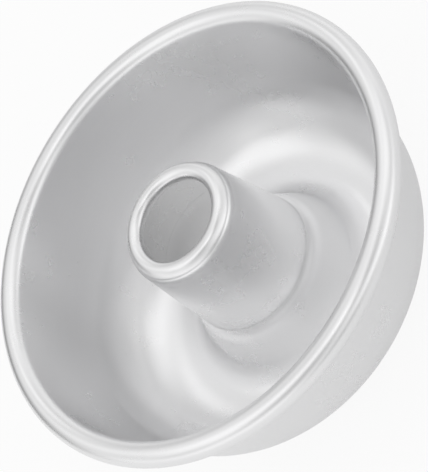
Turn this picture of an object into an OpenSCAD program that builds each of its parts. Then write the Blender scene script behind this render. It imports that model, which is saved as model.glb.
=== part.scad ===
// Angel food cake pan, individual size: a round tube pan of aluminium sheet.
// The Z axis is the pan's own axis, and Z = 0 is the flat ring that it stands on.
// Every piece is one sheet section turned round the axis, and all lengths are in millimetres.

/* [Rim and wall] */
// Diameter over the rolled rim
overall_d = 121; // [114:0.5:128]
// Height of the rim's top above the base
rim_h = 43.3; // [41:0.1:46]
// Outside diameter of the roll on the rim
rim_curl_d = 6.4; // [5:0.1:7.6]
// Lean of the wall from upright, in degrees
wall_lean = 11.3; // [9:0.1:13]
// Outside radius of the turn from the wall towards the bottom
corner_r = 21.1; // [18:0.1:24]

/* [Bottom] */
// Outside radius of the lower half of that turn, next to the flat ring
heel_r = 21.1; // [14:0.1:22]
// Width of the flat ring that the pan stands on
ring_w = 1.5; // [0.8:0.1:5]
// Radius of the channel where the floor rises to the neck, on the baking side
channel_r = 3; // [2:0.1:6]
// Height at which the neck's slope meets the line of the tube
neck_h = 17; // [14:0.1:18]
// Radius of the bend between neck and tube, on the baking side
neck_r = 4; // [2:0.1:6]

/* [Centre tube] */
// Height of the lip's top above the base
tube_h = 47.6; // [45:0.1:54]
// Lean of the tube from upright, in degrees
tube_lean = 4.7; // [3:0.1:6]
// Clear diameter through the lip
lip_bore_d = 21.7; // [20:0.1:23]
// Outside diameter of the roll at the lip
lip_curl_d = 4.1; // [3.6:0.1:4.6]
// Outside radius of the shoulder between the lip and the tube
shoulder_r = 5.5; // [4.5:0.1:7]

/* [Sheet and seam] */
// Thickness of the pan's sheet
sheet_t = 1; // [0.7:0.05:1.2]
// Thickness of the tube's sheet
tube_t = 0.9; // [0.6:0.05:1]
// Height of the seam between neck and tube
seam_h = 20.5; // [20:0.1:24]
// Length of the collar that stands up inside the tube
collar_l = 5; // [3:0.1:8]
// Clearance between the collar and the tube
seam_gap = 0.05; // [0.03:0.01:0.1]

/* [Hidden] */

// Largest angle of one straight facet of a bend in the section
arc_step = 6;
// Clearance left at the free edge of each roll
curl_gap = 0.1;
// Direction in which the lip's roll runs into the shoulder
shoulder_a = 45;
// Direction in which the corner's upper turn runs into its lower one
heel_a = -45;
// Share of the sheet's thickness by which the inner bend of the joggle sits below the ledge
joggle_drop = 0.4;

// Point at the distance r from c in the direction a
function reach(c, r, a) = [c[0] + r * cos(a), c[1] + r * sin(a)];

// Points of an arc, each with the direction of the sheet's reference side:
// away from the centre when out is true, and towards it when out is false
function bend(c, r, from, to, out) =
    let (n = max(1, ceil(abs(to - from) / arc_step)))
    [for (i = [0:n])
        let (a = from + (to - from) * i / n)
        [each reach(c, r, a), a + (out ? 0 : 180)]];

// One list after another, without the second one's first point, where the two meet in a tangent
function tangent_join(first, second) =
    concat(first, [for (i = [1:1:len(second) - 1]) second[i]]);

// The face at the distance d on the reference side of a path
function face(path, d) = [for (p = path) reach(p, d, p[2])];

function reversed(list) = [for (i = [len(list) - 1:-1:0]) list[i]];

// Sweep of a roll whose free edge stops short of the straight wall that it came from
function roll_sweep(mid_r, t) = 360 - acos(1 - (t + curl_gap) / mid_r);

// Rim, wall and corner, measured on the middle of the sheet
rim_r = (rim_curl_d - sheet_t) / 2;
rim_c = [(overall_d - rim_curl_d) / 2, rim_h - rim_curl_d / 2];
rim_a = 180 - wall_lean;
rim_end = rim_a - roll_sweep(rim_r, sheet_t);
corner_z = heel_r + (heel_r - corner_r) * sin(heel_a);
wall_off = rim_c[0] * cos(wall_lean) - (rim_c[1] - corner_z) * sin(wall_lean);
corner_c = [(wall_off - rim_r - corner_r + sheet_t / 2) / cos(wall_lean), corner_z];
heel_c = reach(corner_c, corner_r - heel_r, heel_a);

// Lip and shoulder, measured on the middle of the sheet
lip_r = (lip_curl_d - tube_t) / 2;
lip_c = [(lip_bore_d + lip_curl_d) / 2, tube_h - lip_curl_d / 2];
shoulder_m = shoulder_r - tube_t / 2;
shoulder_c = reach(lip_c, lip_r - shoulder_m, shoulder_a);
// The roll stops where its free edge comes near the inside of the shoulder
lip_room = pow(shoulder_m - tube_t - curl_gap, 2) - pow(shoulder_m - lip_r, 2) - lip_r * lip_r;
lip_end = shoulder_a + 360 - acos(lip_room / (2 * lip_r * (shoulder_m - lip_r)));

// Outside line of the tube, from the shoulder down to the neck
tube_top = reach(shoulder_c, shoulder_r, tube_lean);
function tube_line(z) = [tube_top[0] + (tube_top[1] - z) * tan(tube_lean), z];
neck_p = tube_line(neck_h);
seam_p = tube_line(seam_h);

// Channel's bend beside the flat ring, with its centre on the baking side
channel_c = [heel_c[0] - ring_w, sheet_t + channel_r];
// Lean of the neck, whose slope is tangent to that bend and runs up to the line of the tube
to_channel = channel_c - neck_p;
neck_lean = atan2(to_channel[1], to_channel[0]) + 90 - asin(channel_r / norm(to_channel));
// Bend between neck and tube, with its centre on the baking side
neck_half = (neck_lean - tube_lean) / 2;
neck_c = reach(neck_p, neck_r / cos(neck_half), tube_lean + neck_half);

// Point of the seam's step: in from the tube's outside, and up along it from the ledge
function seam_point(in, up) = reach(reach(seam_p, -in, tube_lean), up, tube_lean + 90);

// Middle of the pan's sheet from the rim's free edge to the neck's upper bend
pan_path = concat(
    bend(rim_c, rim_r, rim_end, rim_a, false),
    tangent_join(
        bend(corner_c, corner_r - sheet_t / 2, -wall_lean, heel_a, true),
        bend(heel_c, heel_r - sheet_t / 2, heel_a, -90, true)),
    bend(channel_c, channel_r + sheet_t / 2, 270, 180 + neck_lean, true),
    bend(neck_c, neck_r + sheet_t / 2, 180 + neck_lean, 180 + tube_lean, true));

// Middle of the tube's sheet from the seam to the lip's free edge
tube_path = concat(
    [[each seam_point(tube_t / 2, seam_gap), tube_lean]],
    tangent_join(
        bend(shoulder_c, shoulder_m, tube_lean, shoulder_a, true),
        bend(lip_c, lip_r, shoulder_a, lip_end, true)));

// Drawn pan: rolled rim, leaning wall, rounded corner, flat ring, channel, neck and collar
module pan_body() {
    step_w = tube_t + seam_gap;
    drop = joggle_drop * sheet_t;
    joggle = [
        seam_point(sheet_t, -drop - step_w),
        seam_point(step_w + sheet_t, -drop),
        seam_point(step_w + sheet_t, collar_l),
        seam_point(step_w, collar_l),
        seam_point(step_w, 0),
        seam_p
    ];
    color("gainsboro")
        rotate_extrude($fn = 96)
            polygon(concat(face(pan_path, sheet_t / 2), joggle, reversed(face(pan_path, -sheet_t / 2))));
}

// Centre tube: a tapered tube that sits over the collar, with its top edge rolled inwards
module centre_tube() {
    color("lightgray")
        rotate_extrude($fn = 96)
            polygon(concat(face(tube_path, tube_t / 2), reversed(face(tube_path, -tube_t / 2))));
}

pan_body();
centre_tube();
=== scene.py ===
"""Looks of the small angel food cake pan: its two turned sheets, satin aluminium, studio and camera.

The classes hold their sizes in millimetres and degrees, the way the pan is drawn, and ``MM`` turns them
into the frame's metres.  The pan stands on Z = 0 with its axis on Z.
"""

import logging
import math
from dataclasses import dataclass, field
from enum import Enum
from typing import Any, Sequence, Union

import bpy
import numpy as np
from mathutils import Matrix, Vector

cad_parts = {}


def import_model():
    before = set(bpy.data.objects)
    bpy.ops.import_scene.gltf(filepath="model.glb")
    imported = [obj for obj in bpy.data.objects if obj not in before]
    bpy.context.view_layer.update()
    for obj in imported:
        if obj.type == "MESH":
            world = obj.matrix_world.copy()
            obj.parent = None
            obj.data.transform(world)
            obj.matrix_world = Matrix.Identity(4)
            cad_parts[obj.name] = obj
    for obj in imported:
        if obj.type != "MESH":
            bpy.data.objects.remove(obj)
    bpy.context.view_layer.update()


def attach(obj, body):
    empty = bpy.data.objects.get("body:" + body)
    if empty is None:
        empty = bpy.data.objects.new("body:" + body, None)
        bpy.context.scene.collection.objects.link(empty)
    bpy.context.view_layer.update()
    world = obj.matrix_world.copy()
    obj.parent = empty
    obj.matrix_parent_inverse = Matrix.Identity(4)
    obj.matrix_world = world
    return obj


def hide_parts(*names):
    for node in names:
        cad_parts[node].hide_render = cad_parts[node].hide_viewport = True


log = logging.getLogger("cake_pan")

MM = 0.001
ARC_LENGTH = "arc_length"
SLOT = "satin_aluminium"
SHARP_ANGLE = 40.0
UP = (0.0, 0.0, 1.0)
WHITE = (1.0, 1.0, 1.0, 1.0)

Value = Union["Sock", float, Sequence[float]]


# ------------------------------------------------------------------ shader maths


class Op(Enum):
    """Math node operations that the expressions use."""

    ADD = "ADD"
    SUBTRACT = "SUBTRACT"
    MULTIPLY = "MULTIPLY"
    DIVIDE = "DIVIDE"
    EXPONENT = "EXPONENT"
    MAXIMUM = "MAXIMUM"
    MINIMUM = "MINIMUM"


@dataclass(frozen=True)
class Sock:
    """An output socket with Python operators; each operator adds one Math node."""

    tree: "Tree"
    link: bpy.types.NodeSocket

    def math(self, op: Op, first: Value, second: Value = 0.0) -> "Sock":
        """Adds a Math node on two values.

        Args:
            op: the operation.
            first: its first value.
            second: its second value, ignored by the operations of one value.

        Returns:
            The node's output.
        """
        return self.tree.node("ShaderNodeMath", {"operation": op.value}, {0: first, 1: second})

    def __add__(self, other: Value) -> "Sock":
        """Sum."""
        return self.math(Op.ADD, self, other)

    def __radd__(self, other: Value) -> "Sock":
        """Sum, number first."""
        return self.math(Op.ADD, other, self)

    def __sub__(self, other: Value) -> "Sock":
        """Difference."""
        return self.math(Op.SUBTRACT, self, other)

    def __rsub__(self, other: Value) -> "Sock":
        """Difference, number first."""
        return self.math(Op.SUBTRACT, other, self)

    def __mul__(self, other: Value) -> "Sock":
        """Product."""
        return self.math(Op.MULTIPLY, self, other)

    def __rmul__(self, other: Value) -> "Sock":
        """Product, number first."""
        return self.math(Op.MULTIPLY, other, self)

    def __truediv__(self, other: Value) -> "Sock":
        """Quotient."""
        return self.math(Op.DIVIDE, self, other)

    def exp(self) -> "Sock":
        """Natural exponential."""
        return self.math(Op.EXPONENT, self)

    def at_least(self, low: float) -> "Sock":
        """The larger of this value and a number."""
        return self.math(Op.MAXIMUM, self, low)

    def at_most(self, high: float) -> "Sock":
        """The smaller of this value and a number."""
        return self.math(Op.MINIMUM, self, high)

    def between(self, low: float, high: float) -> "Sock":
        """This value, held between two numbers."""
        return self.at_least(low).at_most(high)

    def vector(self, operation: str, other: Value, output: str = "Vector") -> "Sock":
        """Adds a Vector Math node on this vector.

        Args:
            operation: the node's operation.
            other: its second vector.
            output: the output wanted.

        Returns:
            That output.
        """
        return self.tree.node("ShaderNodeVectorMath", {"operation": operation}, {0: self, 1: other}, output)

    def dot(self, direction: Sequence[float]) -> "Sock":
        """Dot product of this vector with a fixed one."""
        return self.vector("DOT_PRODUCT", direction, "Value")


class Tree:
    """A node tree that is being filled."""

    def __init__(self, tree: bpy.types.NodeTree) -> None:
        """Starts on an emptied tree."""
        self.tree = tree
        tree.nodes.clear()

    def node(self, kind: str, settings: dict[str, Any] | None = None, inputs: dict[Any, Value] | None = None,
             output: str | int = 0) -> Sock:
        """Makes one node: its settings first, then its sockets.

        Args:
            kind: the node's type.
            settings: attributes such as a Math node's operation.
            inputs: values or links by socket name or number.
            output: the output wanted, by name or number.

        Returns:
            That output, or the node's first one if it has none of its own.
        """
        made = self.tree.nodes.new(kind)
        for name, value in (settings or {}).items():
            setattr(made, name, value)
        for name, value in (inputs or {}).items():
            socket = made.inputs[name]
            if isinstance(value, Sock):
                self.tree.links.new(value.link, socket)
            else:
                socket.default_value = value
        return Sock(self, made.outputs[output] if made.outputs else None)


# ------------------------------------------------------------------ sheet sections


def heading(angle: float | np.ndarray) -> np.ndarray:
    """Unit vector of the section plane at an angle in degrees from the radius."""
    turn = np.radians(angle)
    return np.stack([np.cos(turn), np.sin(turn)], axis=-1)


def arc(centre: np.ndarray, radius: float, start: float, end: float, away: bool, step: float) -> np.ndarray:
    """A bend of the sheet: points ``centre + radius * heading(angle)`` for equal steps of the angle.

    Args:
        centre: the bend's centre (radius, height).
        radius: its radius.
        start: first angle in degrees.
        end: last angle in degrees.
        away: True if the sheet's reference side looks away from the centre.
        step: largest distance between two points, in millimetres.

    Returns:
        Rows of radius, height and the direction of the reference side in degrees.
    """
    count = max(3, math.ceil(abs(math.radians(end - start)) * radius / step))
    angle = np.linspace(start, end, count + 1)
    facing = angle if away else angle + 180
    return np.column_stack([centre + radius * heading(angle), facing])


def run(first: np.ndarray, last: np.ndarray, step: float) -> np.ndarray:
    """The straight sheet between two rows, without the rows themselves: equal steps from one to the other.

    Args:
        first: row that the run leaves.
        last: row that it reaches.
        step: largest distance between two points, in millimetres.

    Returns:
        Rows between the two, with the facing of the first.
    """
    count = max(1, math.ceil(np.hypot(*(last[:2] - first[:2])) / step))
    share = np.arange(1, count)[:, None] / count
    place = first[:2] * (1 - share) + last[:2] * share
    return np.column_stack([place, np.full(count - 1, first[2])])


def chain(parts: Sequence[np.ndarray], step: float) -> np.ndarray:
    """Bends joined by straight runs into the middle line of one sheet.

    Args:
        parts: the bends in order.
        step: largest distance between two points of a straight run, in millimetres.

    Returns:
        Rows of radius, height and facing, without repeated points.
    """
    rows = parts[0]
    for part in parts[1:]:
        if np.hypot(*(part[0, :2] - rows[-1, :2])) < 1e-6:
            rows = np.vstack([rows, part[1:]])
        else:
            rows = np.vstack([rows, run(rows[-1], part[0], step), part])
    return rows


def roll_sweep(radius: float, sheet: float, gap: float) -> float:
    """Angle in degrees of a roll whose free edge stops a gap short of the wall that it came from."""
    return 360 - math.degrees(math.acos(1 - (sheet + gap) / radius))


@dataclass(frozen=True)
class Crease:
    """A fine ring left by the forming tool: the face moves by ``depth * exp(-(distance / width)^2)``."""

    radius: float
    height: float
    width: float
    depth: float

    def pull(self, points: np.ndarray) -> np.ndarray:
        """How far each point of the section moves inwards, in millimetres."""
        distance = np.hypot(points[:, 0] - self.radius, points[:, 1] - self.height)
        return self.depth * np.exp(-((distance / self.width) ** 2))


# ------------------------------------------------------------------ finishes


@dataclass(frozen=True)
class PaintedRing:
    """A painted ring round the neck, painted shade where the tone falls and a painted highlight where it rises: the
    tone changes by ``tone * exp(-(rise / width)^2)`` round a height.
    """

    height: float
    width: float
    tone: float


@dataclass(frozen=True)
class PaintedBoreShade:
    """Painted shade and painted light inside the centre tube: the bore is darker on one side and lighter on the other
    along ``way``.

    ``wall`` is the radius of the middle of the sheet at the height ``foot``, and it falls by ``lean`` for each unit
    of height.  The two fades are how much of the effect comes in per metre.
    """

    tone: float = 0.14
    way: tuple[float, float, float] = (0.96, -0.28, 0.0)
    radius: float = 16.0
    wall: float = 17.9
    foot: float = 17.0
    lean: float = 0.082
    wall_fade: float = 6000.0
    top: float = 43.6
    top_fade: float = 2000.0

    def shade(self, place: Sock, radius: Sock, height: Sock) -> Sock:
        """The change of tone at a place: painted shade on one side of the bore and painted light on the other.

        Args:
            place: the Object coordinates.
            radius: distance from the pan's axis in metres.
            height: height above the base in metres.

        Returns:
            ``tone * cosine to way`` inside the tube's wall and below its lip, and 0 elsewhere.
        """
        room = self.wall * MM - radius - (height - self.foot * MM) * self.lean
        inside = (room * self.wall_fade).between(0.0, 1.0)
        below = ((self.top * MM - height) * self.top_fade).between(0.0, 1.0)
        # painted shade: the tone falls and rises across the bore along a fixed direction
        return place.dot(self.way) * (self.tone / (self.radius * MM)) * inside * below


@dataclass(frozen=True)
class SatinAluminium:
    """Drawn and turned aluminium with a satin surface: fine tool rings, a soft grain and faint handling marks, and
    painted shade in the tube and at the neck.

    Tones and roughnesses are how far the colour and the roughness vary.  Depths and the pitch are in millimetres.
    """

    colour: tuple[float, float, float] = (0.86, 0.86, 0.865)
    roughness: float = 0.28
    stretch: float = 0.5
    stretch_turn: float = 0.25
    ring_pitch: float = 0.55
    ring_depth: float = 0.0004
    ring_tone: float = 0.02
    grain_scale: float = 3200.0
    grain_depth: float = 0.0003
    grain_tone: float = 0.03
    cloud_scale: float = 38.0
    cloud_tone: float = 0.035
    cloud_roughness: float = 0.05
    smear_scale: float = 210.0
    smear_roughness: float = 0.03
    # painted shade inside the centre tube, darker on one side and lighter on the other
    bore: PaintedBoreShade = PaintedBoreShade()
    # painted shade ring and painted highlight band at the neck
    painted_rings: tuple[PaintedRing, ...] = (PaintedRing(16.9, 0.65, -0.16), PaintedRing(14.2, 1.0, 0.07))
    painted_rings_within: float = 25.0
    painted_rings_fade: float = 1000.0

    def material(self) -> bpy.types.Material:
        """Builds the procedural material.

        Returns:
            Metal whose colour, roughness and bump vary along the sheet and round the pan.
        """
        made = bpy.data.materials.new(SLOT)
        made.use_nodes = True
        tree = Tree(made.node_tree)
        place = tree.node("ShaderNodeTexCoord", output="Object")
        flat, height = place.vector("MULTIPLY", (1.0, 1.0, 0.0)), place.dot(UP)
        radius = flat.vector("LENGTH", UP, "Value")
        rings = self.noise(self.spun_place(tree, flat), 1.0, 3.0, 0.6)
        grain = self.noise(place, self.grain_scale, 2.0)
        cloud = self.noise(place, self.cloud_scale, 4.0)
        smear = self.noise(place, self.smear_scale, 3.0)
        # the tone also carries the painted shade in the bore and the painted shade and highlight rings at the neck
        tone = (1.0 + (cloud - 0.5) * self.cloud_tone + (rings - 0.5) * self.ring_tone
                + (grain - 0.5) * self.grain_tone
                + self.bore.shade(place, radius, height) + self.painted_neck_rings(radius, height))
        colour = tree.node("ShaderNodeVectorMath", {"operation": "SCALE"}, {0: self.colour, "Scale": tone}, "Vector")
        roughness = self.roughness + (cloud - 0.5) * self.cloud_roughness + (smear - 0.5) * self.smear_roughness
        relief = rings * self.ring_depth + grain * self.grain_depth
        bump = tree.node("ShaderNodeBump", {}, {"Strength": 1.0, "Distance": MM, "Height": relief}, "Normal")
        metal = tree.node("ShaderNodeBsdfPrincipled", {}, {
            "Base Color": colour, "Metallic": 1.0, "Roughness": roughness, "Normal": bump,
            "Anisotropic": self.stretch, "Anisotropic Rotation": self.stretch_turn,
        })
        tree.node("ShaderNodeOutputMaterial", {}, {"Surface": metal})
        return made

    def noise(self, place: Sock, scale: float, detail: float, roughness: float = 0.5) -> Sock:
        """Noise between 0 and 1 at a place.

        Args:
            place: the coordinates.
            scale: patches per unit of them.
            detail: octaves.
            roughness: share that each octave keeps.

        Returns:
            The noise.
        """
        inputs = {"Vector": place, "Scale": scale, "Detail": detail, "Roughness": roughness}
        return place.tree.node("ShaderNodeTexNoise", {}, inputs, "Fac")

    def painted_neck_rings(self, radius: Sock, height: Sock) -> Sock:
        """The painted shade and painted highlight where the neck turns into the tube: a dull ring and a bright band.

        Args:
            radius: distance from the pan's axis in metres.
            height: height above the base in metres.

        Returns:
            The sum of the painted rings near the axis, and 0 beyond ``painted_rings_within``.
        """
        total: Value = 0.0
        for band in self.painted_rings:
            rise = (height - band.height * MM) / (band.width * MM)
            total = total + (rise * rise * -1.0).exp() * band.tone
        return total * ((self.painted_rings_within * MM - radius) * self.painted_rings_fade).between(0.0, 1.0)

    def spun_place(self, tree: Tree, flat: Sock) -> Sock:
        """A place that changes fast along the sheet and slowly round the pan, for rings and turning marks.

        Args:
            tree: the material's nodes.
            flat: the Object coordinates with a height of 0.

        Returns:
            The vector (cosine, sine of the angle round the pan, arc length over the ring pitch).
        """
        length = tree.node("ShaderNodeAttribute", {"attribute_name": ARC_LENGTH}, output="Fac")
        rise = tree.node("ShaderNodeCombineXYZ", {}, {"Z": length / (self.ring_pitch * MM)})
        return flat.vector("NORMALIZE", UP).vector("ADD", rise)


# ------------------------------------------------------------------ turned sheets


@dataclass
class TurnedSheet:
    """A piece made of one closed section turned round the Z axis."""

    name: str = ""
    node: str = ""
    segments: int = 192
    finish: SatinAluminium = SatinAluminium()
    creases: tuple[Crease, ...] = ()

    def outline(self) -> tuple[np.ndarray, np.ndarray]:
        """The closed section: points (radius, height) and the outward direction at each, in degrees."""
        raise NotImplementedError

    def wrap(self, path: np.ndarray, sheet: float, edge: np.ndarray | None = None) -> tuple[np.ndarray, np.ndarray]:
        """Both faces of a sheet round its middle line: ``point ± sheet / 2 * heading(facing)``.

        Args:
            path: rows of the middle line.
            sheet: its thickness.
            edge: further points between the end of the first face and the start of the second.

        Returns:
            The outline's points and their outward directions.
        """
        lift = sheet / 2 * heading(path[:, 2])
        front, back = path[:, :2] + lift, (path[:, :2] - lift)[::-1]
        ways = [path[:, 2], (path[:, 2] + 180)[::-1]]
        if edge is not None:
            ways.insert(1, np.full(len(edge), path[-1, 2] + 180))
            return np.vstack([front, edge, back]), np.concatenate(ways)
        return np.vstack([front, back]), np.concatenate(ways)

    def surface(self, points: np.ndarray, ways: np.ndarray) -> np.ndarray:
        """The grid of the turned surface in metres.

        A point at angle ``a`` is ``(r cos a, r sin a, z)``, where the section's radius ``r`` and height ``z``
        have moved by the creases' pull, against the face's direction.

        Args:
            points: the section.
            ways: outward directions in degrees.

        Returns:
            Array of segments by section points by 3.
        """
        pull = sum((crease.pull(points) for crease in self.creases), np.zeros(len(points)))
        moved = points - pull[:, None] * heading(ways)
        angle = np.linspace(0, 2 * math.pi, self.segments, endpoint=False)[:, None]
        radius, height = moved[:, 0], np.broadcast_to(moved[:, 1], (self.segments, len(points)))
        return np.stack([radius * np.cos(angle), radius * np.sin(angle), height], axis=-1) * MM

    def build(self) -> bpy.types.Object:
        """Makes the mesh, dresses it and hangs it on the frame.

        The four corners of a cell are the grid points (i, j), (i + 1, j), (i + 1, j + 1) and (i, j + 1), both
        indices running round, and their order is turned over if the section runs clockwise.

        Returns:
            The piece.
        """
        points, ways = self.outline()
        grid = self.surface(points, ways)
        around, along = grid.shape[:2]
        i, j = np.meshgrid(np.arange(around), np.arange(along), indexing="ij")
        after, above = (i + 1) % around, (j + 1) % along
        faces = np.stack([i * along + j, after * along + j, after * along + above, i * along + above], axis=-1)
        step = np.roll(points, -1, axis=0) - points
        if (points[:, 0] * step[:, 1] - points[:, 1] * step[:, 0]).sum() < 0:
            faces = faces[..., ::-1]
        mesh = bpy.data.meshes.new(self.name)
        mesh.from_pydata(grid.reshape(-1, 3), [], faces.reshape(-1, 4))
        mesh.update()
        mesh.shade_smooth()
        mesh.set_sharp_from_angle(angle=math.radians(SHARP_ANGLE))
        length = np.concatenate([[0], np.cumsum(np.hypot(*step[:-1].T))]) * MM
        layer = mesh.attributes.new(ARC_LENGTH, "FLOAT", "POINT")
        layer.data.foreach_set("value", np.tile(length, around).astype(np.float32))
        mesh.materials.append(self.finish.material())
        piece = bpy.data.objects.new(self.name, mesh)
        bpy.context.scene.collection.objects.link(piece)
        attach(piece, "root")
        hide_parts(self.node)
        log.info("%s: %d faces", self.name, len(mesh.polygons))
        return piece


@dataclass
class Seam:
    """The lapped seam where the tube sits over the neck's collar, on the line of the tube's outside."""

    foot: np.ndarray
    lean: float

    def point(self, inwards: float, upwards: float) -> np.ndarray:
        """A point at a distance in from the tube's outside and up along it from the ledge."""
        return self.foot - inwards * heading(self.lean) + upwards * heading(self.lean + 90)


@dataclass
class CentreTube(TurnedSheet):
    """The tapered centre tube, with its rounded shoulder and its top edge rolled inwards."""

    name: str = "spun_centre_tube"
    node: str = "centre_tube"
    segments: int = 224
    shoulder_step: float = 0.12
    roll_step: float = 0.14
    run_step: float = 0.5
    height: float = 47.6
    lean: float = 4.7
    bore: float = 21.7
    roll: float = 4.1
    shoulder: float = 5.5
    sheet: float = 0.9
    seam_height: float = 20.5
    gap: float = 0.01
    edge_gap: float = 0.1
    turn: float = 45.0
    creases: tuple[Crease, ...] = (Crease(15.4, 45.5, 0.35, 0.06), Crease(16.03, 42.9, 0.5, 0.05))

    @property
    def roll_centre(self) -> np.ndarray:
        """Centre of the lip's roll."""
        return np.array([(self.bore + self.roll) / 2, self.height - self.roll / 2])

    @property
    def shoulder_centre(self) -> np.ndarray:
        """Centre of the shoulder, which runs on from the roll in the direction ``turn``."""
        return self.roll_centre + (self.roll - self.sheet) / 2 * heading(self.turn) - (
            self.shoulder - self.sheet / 2) * heading(self.turn)

    def side(self, height: float) -> np.ndarray:
        """Point of the tube's outside line at a height."""
        top = self.shoulder_centre + self.shoulder * heading(self.lean)
        return np.array([top[0] + (top[1] - height) * math.tan(math.radians(self.lean)), height])

    @property
    def seam(self) -> Seam:
        """The seam at the tube's foot."""
        return Seam(self.side(self.seam_height), self.lean)

    def outline(self) -> tuple[np.ndarray, np.ndarray]:
        """Foot, straight tube, shoulder and roll, as one sheet.

        Returns:
            The outline's points and their outward directions.
        """
        roll, bend = (self.roll - self.sheet) / 2, self.shoulder - self.sheet / 2
        room = (bend - self.sheet - self.edge_gap) ** 2 - (bend - roll) ** 2 - roll**2
        end = self.turn + 360 - math.degrees(math.acos(room / (2 * roll * (bend - roll))))
        foot = np.array([[*self.seam.point(self.sheet / 2, self.gap), self.lean]])
        path = chain([
            foot,
            arc(self.shoulder_centre, bend, self.lean, self.turn, True, self.shoulder_step),
            arc(self.roll_centre, roll, self.turn, end, True, self.roll_step),
        ], self.run_step)
        return self.wrap(path, self.sheet)


@dataclass
class PanBody(TurnedSheet):
    """The drawn pan: rolled rim, leaning wall, rounded corner, flat ring, channel, neck and collar."""

    name: str = "drawn_pan_body"
    node: str = "pan_body"
    segments: int = 256
    roll_step: float = 0.35
    corner_step: float = 0.6
    channel_step: float = 0.3
    neck_step: float = 0.25
    run_step: float = 0.7
    collar_rows: int = 13
    across: float = 121.0
    height: float = 43.3
    roll: float = 6.4
    lean: float = 11.3
    corner: float = 21.1
    heel: float = 17.0
    ring: float = 1.0
    channel: float = 8.0
    neck_height: float = 17.0
    neck: float = 4.0
    sheet: float = 1.0
    heel_way: float = -45.0
    collar: float = 9.0
    drop: float = 0.4
    feather: float = 0.03
    edge_gap: float = 0.1
    creases: tuple[Crease, ...] = (Crease(18.6, 16.6, 0.9, 0.3), Crease(20.6, 13.2, 1.0, -0.12))
    tube: CentreTube = field(default_factory=CentreTube)

    def outline(self) -> tuple[np.ndarray, np.ndarray]:
        """Roll, wall, corner, heel, ring, channel, neck and joggled collar, as one sheet.

        The heel is a smaller bend below the corner, and the straight sheet between the two keeps both heights.
        The collar thins out upwards as ``(1 + cos(pi * rise / collar)) / 2``, as a burnished seam does.
        The neck's lean is the one whose slope touches the channel's bend and runs up to the tube's line.

        Returns:
            The outline's points and their outward directions.
        """
        tube, half = self.tube, self.sheet / 2
        roll = (self.roll - self.sheet) / 2
        rim = np.array([(self.across - self.roll) / 2, self.height - self.roll / 2])
        rim_way = 180 - self.lean
        tilt = math.radians(self.lean)
        off = rim[0] * math.cos(tilt) - (rim[1] - self.corner) * math.sin(tilt)
        corner = np.array([(off - roll - self.corner + half) / math.cos(tilt), self.corner])
        way = heading(self.heel_way)
        fall = (self.corner - self.heel) * (1 + way[1])
        heel = np.array([corner[0] + (self.corner - self.heel) * way[0] + fall * way[1] / way[0], self.heel])
        neck_point = tube.side(self.neck_height)
        channel = np.array([heel[0] - self.ring, self.sheet + self.channel])
        to_channel = channel - neck_point
        lean = (math.degrees(math.atan2(to_channel[1], to_channel[0])) + 90
                - math.degrees(math.asin(self.channel / np.hypot(*to_channel))))
        half_way = (lean - tube.lean) / 2
        neck = neck_point + self.neck / math.cos(math.radians(half_way)) * heading(tube.lean + half_way)
        path = chain([
            arc(rim, roll, rim_way - roll_sweep(roll, self.sheet, self.edge_gap), rim_way, False, self.roll_step),
            arc(corner, self.corner - half, -self.lean, self.heel_way, True, self.corner_step),
            arc(heel, self.heel - half, self.heel_way, -90, True, self.corner_step),
            arc(channel, self.channel + half, 270, 180 + lean, True, self.channel_step),
            arc(neck, self.neck + half, 180 + lean, 180 + tube.lean, True, self.neck_step),
        ], self.run_step)
        seam, step = tube.seam, tube.sheet + tube.gap
        drop = self.drop * self.sheet
        rise = np.linspace(0, self.collar, self.collar_rows)
        thin = self.feather + (self.sheet - self.feather) * (1 + np.cos(math.pi * rise / self.collar)) / 2
        inside = seam.foot - (step + thin)[:, None] * heading(seam.lean) + rise[:, None] * heading(seam.lean + 90)
        joggle = np.vstack([
            seam.point(self.sheet, -drop - step),
            seam.point(step + self.sheet, -drop),
            inside,
            seam.point(step, self.collar),
            seam.point(step, 0),
            seam.foot,
        ])
        return self.wrap(path, self.sheet, joggle)


# ------------------------------------------------------------------ studio


@dataclass(frozen=True)
class Glow:
    """One soft patch of light in the room: ``strength * exp(sharpness * (cosine - 1))`` round a direction."""

    azimuth: float
    elevation: float
    strength: float
    sharpness: float = 14.0

    @property
    def direction(self) -> tuple[float, float, float]:
        """Unit vector towards the patch."""
        a, e = math.radians(self.azimuth), math.radians(self.elevation)
        return (math.cos(a) * math.cos(e), math.sin(a) * math.cos(e), math.sin(e))


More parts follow.
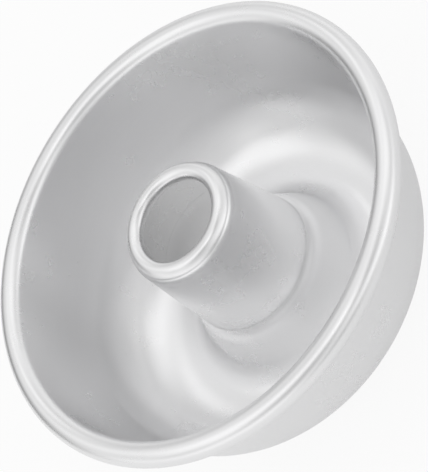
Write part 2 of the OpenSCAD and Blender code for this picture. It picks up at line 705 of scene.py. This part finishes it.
@dataclass
class Studio:
    """A white table, a white room with soft light from above and around, and the camera.

    ``floor_white`` and ``floor_mirrored`` are the share of plain white in the table as the camera and the metal see
    it.  The second changes across the table by ``painted_reflection_slope`` per metre, a painted gradient that makes
    the table's reflection in the metal lighter on one side.  Lengths here are in metres, but the camera's lens and
    sensor are in millimetres.
    """

    glows: tuple[Glow, ...] = (
        Glow(0, 88, 0.446), Glow(0, 64, 0.670), Glow(60, 64, 0.284), Glow(180, 64, 0.715), Glow(240, 64, 0.131),
        Glow(22, 42, 0.638), Glow(68, 42, 0.217), Glow(112, 42, 0.890), Glow(202, 42, 0.275), Glow(292, 42, 0.148),
        Glow(338, 42, 0.186), Glow(144, 24, 0.574), Glow(252, 24, 0.646), Glow(288, 24, 0.874),
        Glow(15, 8, 0.654), Glow(45, 8, 0.751), Glow(75, 8, 0.646), Glow(165, 8, 0.743), Glow(195, 8, 0.877),
        Glow(225, 8, 0.906), Glow(315, 8, 1.027), Glow(345, 8, 0.685),
        Glow(210, 70, 0.322, 60), Glow(270, 70, 1.050, 60), Glow(72, 56, 0.306, 60), Glow(144, 56, 0.511, 60),
        Glow(180, 56, 0.166, 60), Glow(216, 56, 0.242, 60), Glow(64, 43, 0.522, 60), Glow(167, 43, 0.470, 60),
        Glow(193, 43, 0.418, 60), Glow(270, 43, 0.203, 60), Glow(321, 43, 0.310, 60), Glow(347, 43, 0.375, 60),
    )
    floor_white: float = 0.9
    floor_mirrored: float = 0.4
    # painted reflection: the table's white in the metal grows lighter towards -X and darker towards +X, held between
    # floor_darkest and floor_brightest
    painted_reflection_slope: float = -3.4
    floor_darkest: float = 0.2
    floor_brightest: float = 0.62
    floor_reach: float = 6.0
    floor_colour: float = 0.85
    distance: float = 0.605
    elevation: float = 44.96
    roll: float = 59.38
    rim_plane: float = 0.0401
    target: tuple[float, float, float] = (0.001313, 0.0, -0.008137)
    lens: float = 189.88
    sensor: float = 36.0
    near: float = 0.01

    def world(self) -> None:
        """The room's light: the sum of its glows, and plain white where the camera looks past the table."""
        made = bpy.data.worlds.new("soft_room")
        made.use_nodes = True
        tree = Tree(made.node_tree)
        way = tree.node("ShaderNodeTexCoord", output="Generated")
        light: Value = 0.0
        for glow in self.glows:
            light = light + glow.strength * ((way.dot(glow.direction) - 1.0) * glow.sharpness).exp()
        camera = tree.node("ShaderNodeLightPath", output="Is Camera Ray")
        strength = light * (1.0 - camera) + camera
        lamp = tree.node("ShaderNodeBackground", {}, {"Color": WHITE, "Strength": strength})
        tree.node("ShaderNodeOutputWorld", {}, {"Surface": lamp})
        bpy.context.scene.world = made

    def floor(self) -> bpy.types.Object:
        """A wide white table top under the pan, which keeps its soft shadow.

        Returns:
            The floor.
        """
        mesh = bpy.data.meshes.new("table_top")
        square = np.array([[-1.0, -1.0, 0.0], [1.0, -1.0, 0.0], [1.0, 1.0, 0.0], [-1.0, 1.0, 0.0]])
        mesh.from_pydata(square * self.floor_reach, [], [(0, 1, 2, 3)])
        made = bpy.data.materials.new("white_table")
        made.use_nodes = True
        tree = Tree(made.node_tree)
        camera = tree.node("ShaderNodeLightPath", output="Is Camera Ray")
        glossy = tree.node("ShaderNodeLightPath", output="Is Glossy Ray")
        through = tree.node("ShaderNodeLightPath", output="Is Transmission Ray")
        shade = self.floor_colour
        matt = tree.node("ShaderNodeBsdfDiffuse", {}, {"Color": (shade, shade, shade, 1.0)})
        white = tree.node("ShaderNodeEmission", {}, {"Color": WHITE, "Strength": 1.0})
        across = tree.node("ShaderNodeTexCoord", output="Object").dot((1.0, 0.0, 0.0))
        # painted light: the share of white that the metal sees slopes across the table, lighter on one side
        mirrored_with_painted_slope = (across * self.painted_reflection_slope + self.floor_mirrored).between(self.floor_darkest, self.floor_brightest)
        share = camera * self.floor_white + (glossy + through).at_most(1.0) * mirrored_with_painted_slope
        both = tree.node("ShaderNodeMixShader", {}, {0: share, 1: matt, 2: white})
        tree.node("ShaderNodeOutputMaterial", {}, {"Surface": both})
        mesh.materials.append(made)
        floor = bpy.data.objects.new("table_top", mesh)
        bpy.context.scene.collection.objects.link(floor)
        return floor

    def camera(self) -> bpy.types.Object:
        """The camera at the photograph's viewing angle, turned about its own axis as the photograph is.

        Returns:
            The scene's camera.
        """
        e, r = math.radians(self.elevation), math.radians(self.roll)
        base = Vector((0.0, 0.0, self.rim_plane))
        eye = base + Vector((0.0, -self.distance * math.cos(e), self.distance * math.sin(e)))
        ahead = (base + Vector(self.target) - eye).normalized()
        right = ahead.cross(Vector(UP)).normalized()
        down = ahead.cross(right)
        right, down = math.cos(r) * right + math.sin(r) * down, -math.sin(r) * right + math.cos(r) * down
        data = bpy.data.cameras.new("photo_camera")
        data.lens, data.sensor_width, data.clip_start = self.lens, self.sensor, self.near
        made = bpy.data.objects.new("photo_camera", data)
        columns = Matrix((right, -down, -ahead)).transposed().to_4x4()
        made.matrix_world = Matrix.Translation(eye) @ columns
        bpy.context.scene.collection.objects.link(made)
        bpy.context.scene.camera = made
        return made


def main() -> None:
    """Builds the pan, the table, the light and the camera."""
    logging.basicConfig(level=logging.INFO, format="%(name)s: %(message)s")
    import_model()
    studio = Studio()
    studio.camera()
    finish = SatinAluminium()
    tube = CentreTube(finish=finish)
    pan = PanBody(finish=finish, tube=tube)
    for sheet in (pan, tube):
        sheet.build()
    studio.floor()
    studio.world()
    bpy.context.scene.view_settings.view_transform = "Standard"


if __name__ == "__main__":
    main()
